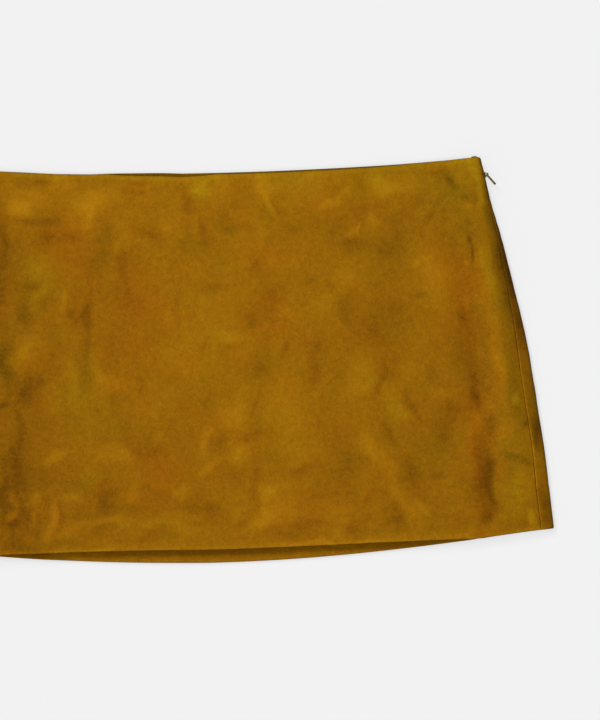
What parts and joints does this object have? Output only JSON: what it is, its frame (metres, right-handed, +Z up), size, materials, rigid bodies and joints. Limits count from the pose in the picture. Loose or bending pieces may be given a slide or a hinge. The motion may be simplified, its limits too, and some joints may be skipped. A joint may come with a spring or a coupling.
{
  "type": "suede mini skirt, laid flat",
  "caption": "Low-waisted A-line mini skirt in suede, laid flat with its front up, with a concealed side zip and turned hem.",
  "frame": {"origin": "centre of the box round the part, on the flat underside that rests", "axes": "+X across the skirt to the side with the zip, +Y from the hem to the waist, +Z up, out of the front"},
  "size_m": [0.5004, 0.2812, 0.0112],
  "materials": {
    "suede": "tan suede with a short brushed nap, matte",
    "zip_tape": "woven tape with a fine nylon coil",
    "zip_metal": "antique brass, satin"
  },
  "bodies": {
    "skirt": {"front_panel": "suede", "back_panel": "suede", "zip_tape_front": "zip_tape", "zip_tape_back": "zip_tape", "zip_slider": "zip_metal"},
    "pull": {"zip_pull": "zip_metal"}
  },
  "joints": [
    {"name": "pull_hinge", "type": "hinge", "parent": "skirt", "child": "pull", "pos_m": [0.2074, 0.12768, 0.0055], "axis": [0, 0, 1], "range_deg": [-28, 145]}
  ]
}
